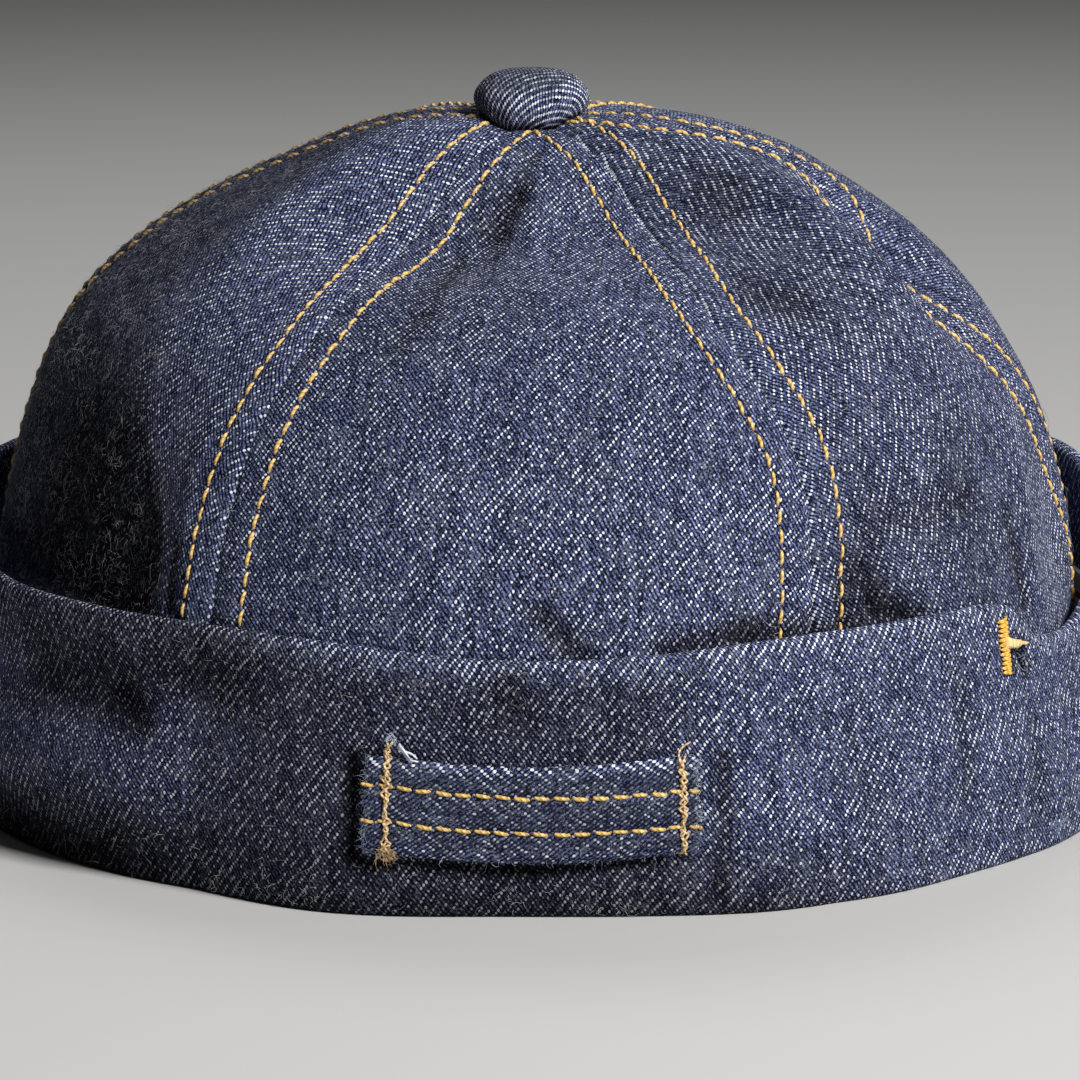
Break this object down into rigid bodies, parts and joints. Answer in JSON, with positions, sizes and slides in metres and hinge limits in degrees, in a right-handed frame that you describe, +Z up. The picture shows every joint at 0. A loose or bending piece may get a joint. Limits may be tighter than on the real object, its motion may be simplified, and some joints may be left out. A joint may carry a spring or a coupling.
{
  "type": "fisherman cap",
  "caption": "Brimless denim fisherman cap with a domed paneled crown, a turned-up cuff, a sewn strip on the cuff and a covered top button.",
  "frame": {"origin": "on the surface that the cap rests on, below the middle of the cap's box", "axes": "+Z up from the resting surface to the button, -Y out of the front of the cap where the sewn strip is, +X to the right as seen from the front"},
  "size_m": [0.2022, 0.2016, 0.1228],
  "materials": {
    "crown_denim": "raw indigo denim with a white weft",
    "cuff_denim": "raw indigo denim, worn paler along the rim",
    "strip_denim": "raw indigo denim with frayed ends",
    "button_denim": "indigo denim stretched over a button",
    "selvedge": "white woven edge with one red line",
    "thread": "golden topstitching thread"
  },
  "bodies": {
    "root": {"crown_panel_1": "crown_denim", "crown_panel_2": "crown_denim", "crown_panel_3": "crown_denim", "crown_panel_4": "crown_denim", "crown_panel_5": "crown_denim", "crown_panel_6": "crown_denim", "cuff": "cuff_denim", "cuff_strip": "strip_denim", "selvedge_edge": "selvedge", "top_button": "button_denim"}
  },
  "joints": []
}
